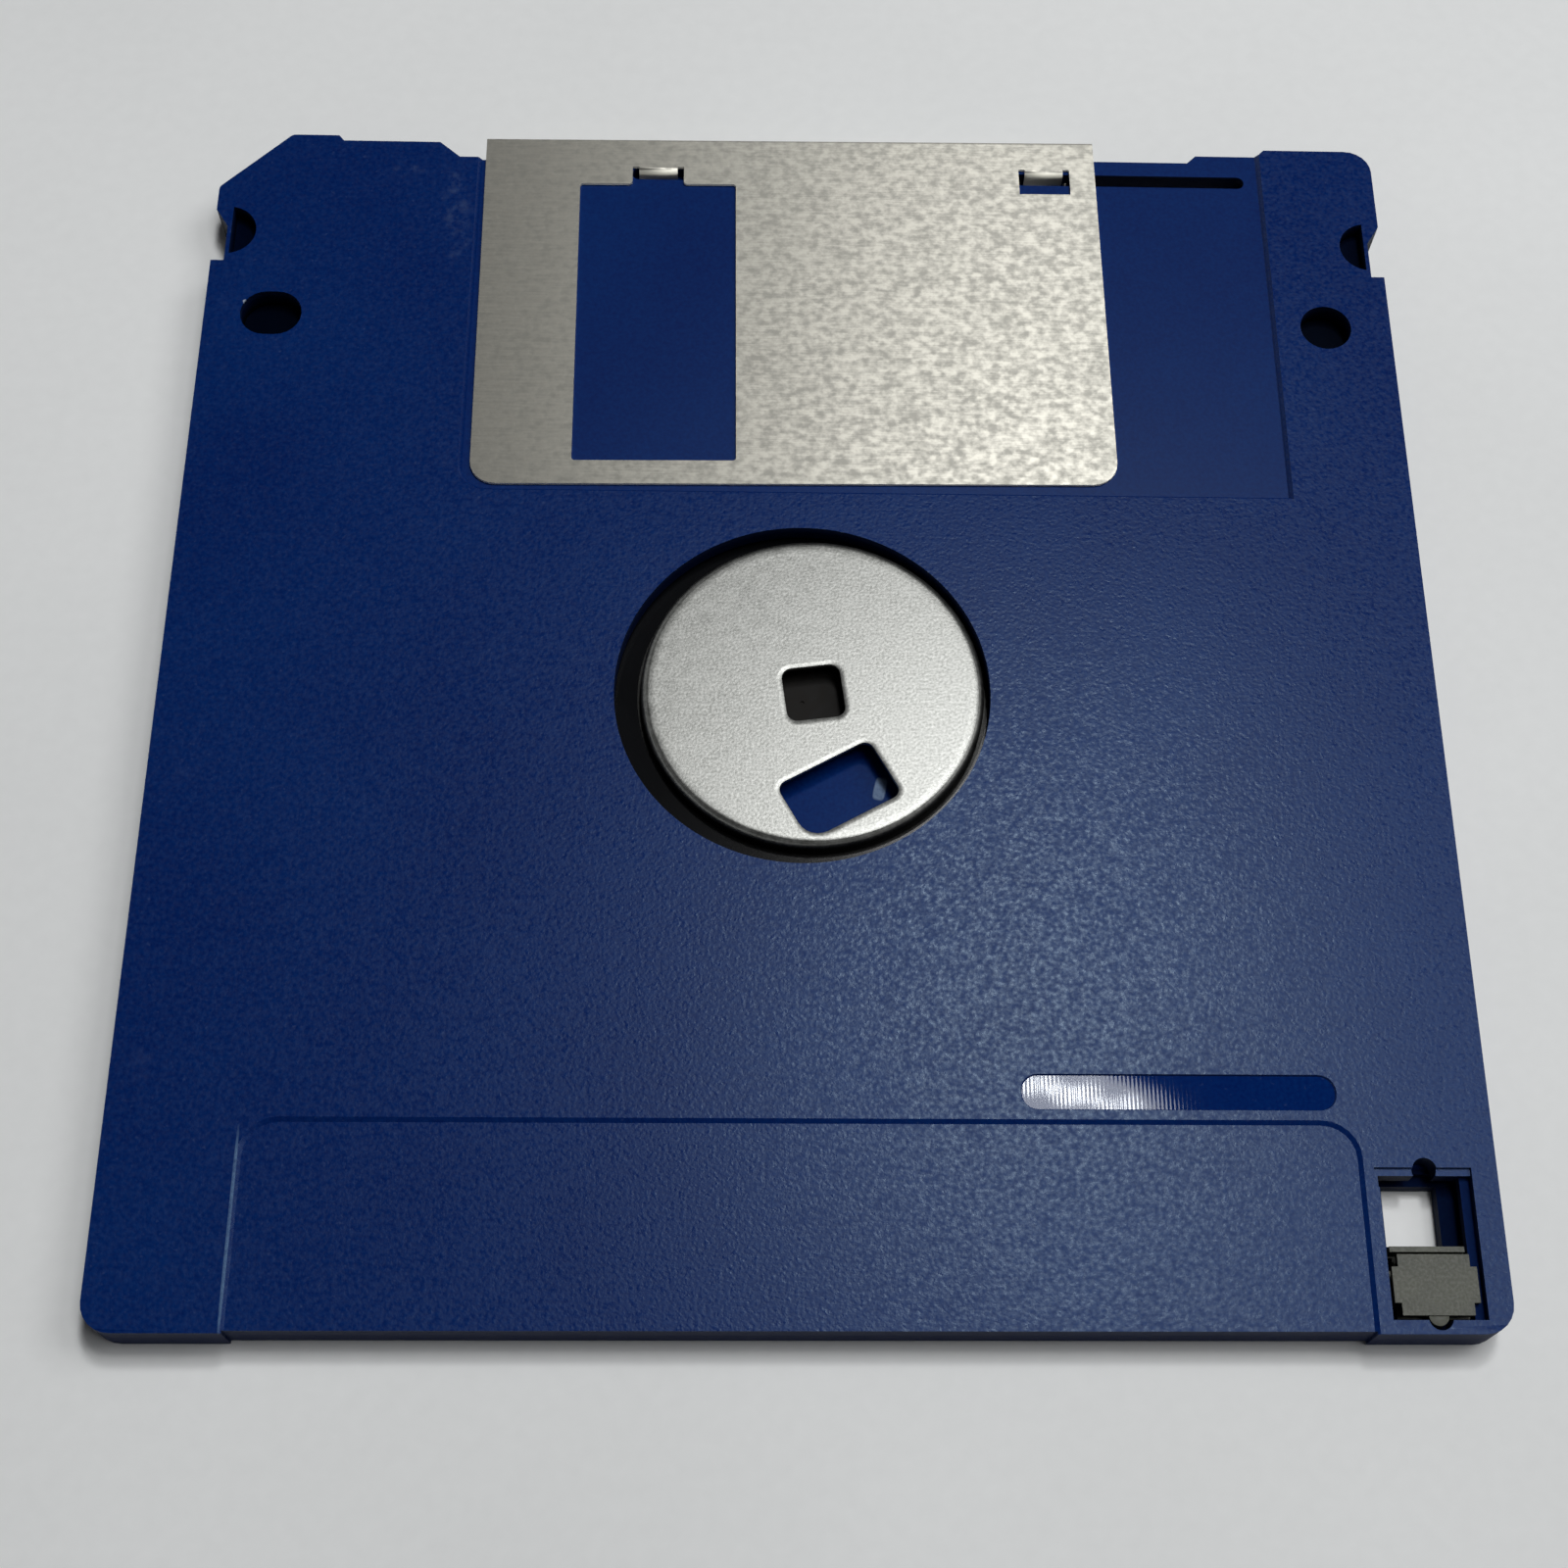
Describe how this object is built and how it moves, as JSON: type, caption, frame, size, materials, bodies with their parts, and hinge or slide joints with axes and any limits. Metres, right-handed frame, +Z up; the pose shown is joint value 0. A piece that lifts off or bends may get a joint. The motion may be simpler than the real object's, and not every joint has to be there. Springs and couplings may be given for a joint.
{
  "type": "floppy disk",
  "caption": "90 mm flexible disk cartridge: welded plastic case, sliding metal shutter, steel hub on a magnetic disk and a write-protect slider.",
  "frame": {"origin": "under the middle of the case's outline, on the surface that it lies on", "axes": "+X along the shutter's edge towards the side with the write-protect tab, +Y towards the shutter's edge, +Z up through the hub side"},
  "size_m": [0.09, 0.0943, 0.0033],
  "materials": {
    "back_shell": "fine moulded grain, dark blue",
    "front_shell": "fine moulded grain, dark blue",
    "shutter": "mottled stainless sheet, handled",
    "shutter_spring": "bright spring wire",
    "hub": "satin plated steel with bright sheared edges",
    "hub_adhesive_ring": "thin adhesive film",
    "magnetic_disk": "glossy dark brown coating",
    "back_liner": "non-woven fibre",
    "front_liner": "non-woven fibre",
    "liner_lifter": "smooth film",
    "hub_wear_pad": "smooth dark plastic",
    "write_protect_tab": "grey-green moulded plastic"
  },
  "bodies": {
    "case": {"back_shell": "back_shell", "front_shell": "front_shell", "back_liner": "back_liner", "front_liner": "front_liner", "liner_lifter": "liner_lifter", "hub_wear_pad": "hub_wear_pad", "shutter_spring": "shutter_spring"},
    "shutter": {"shutter": "shutter"},
    "disk": {"hub": "hub", "hub_adhesive_ring": "hub_adhesive_ring", "magnetic_disk": "magnetic_disk"},
    "tab": {"write_protect_tab": "write_protect_tab"}
  },
  "joints": [
    {"name": "shutter_slide", "type": "slide", "parent": "case", "child": "shutter", "axis": [1, 0, 0], "range_m": [0, 0.0122], "stiffness_N_per_m": 25, "springref_m": -0.012, "deforming": ["shutter_spring"]},
    {"name": "disk_spin", "type": "hinge", "parent": "case", "child": "disk", "pos_m": [0.00073, -0.00135, 0.003], "axis": [0, 0, 1], "continuous": true},
    {"name": "tab_slide", "type": "slide", "parent": "case", "child": "tab", "axis": [0, 1, 0], "range_m": [0, 0.0044]}
  ]
}
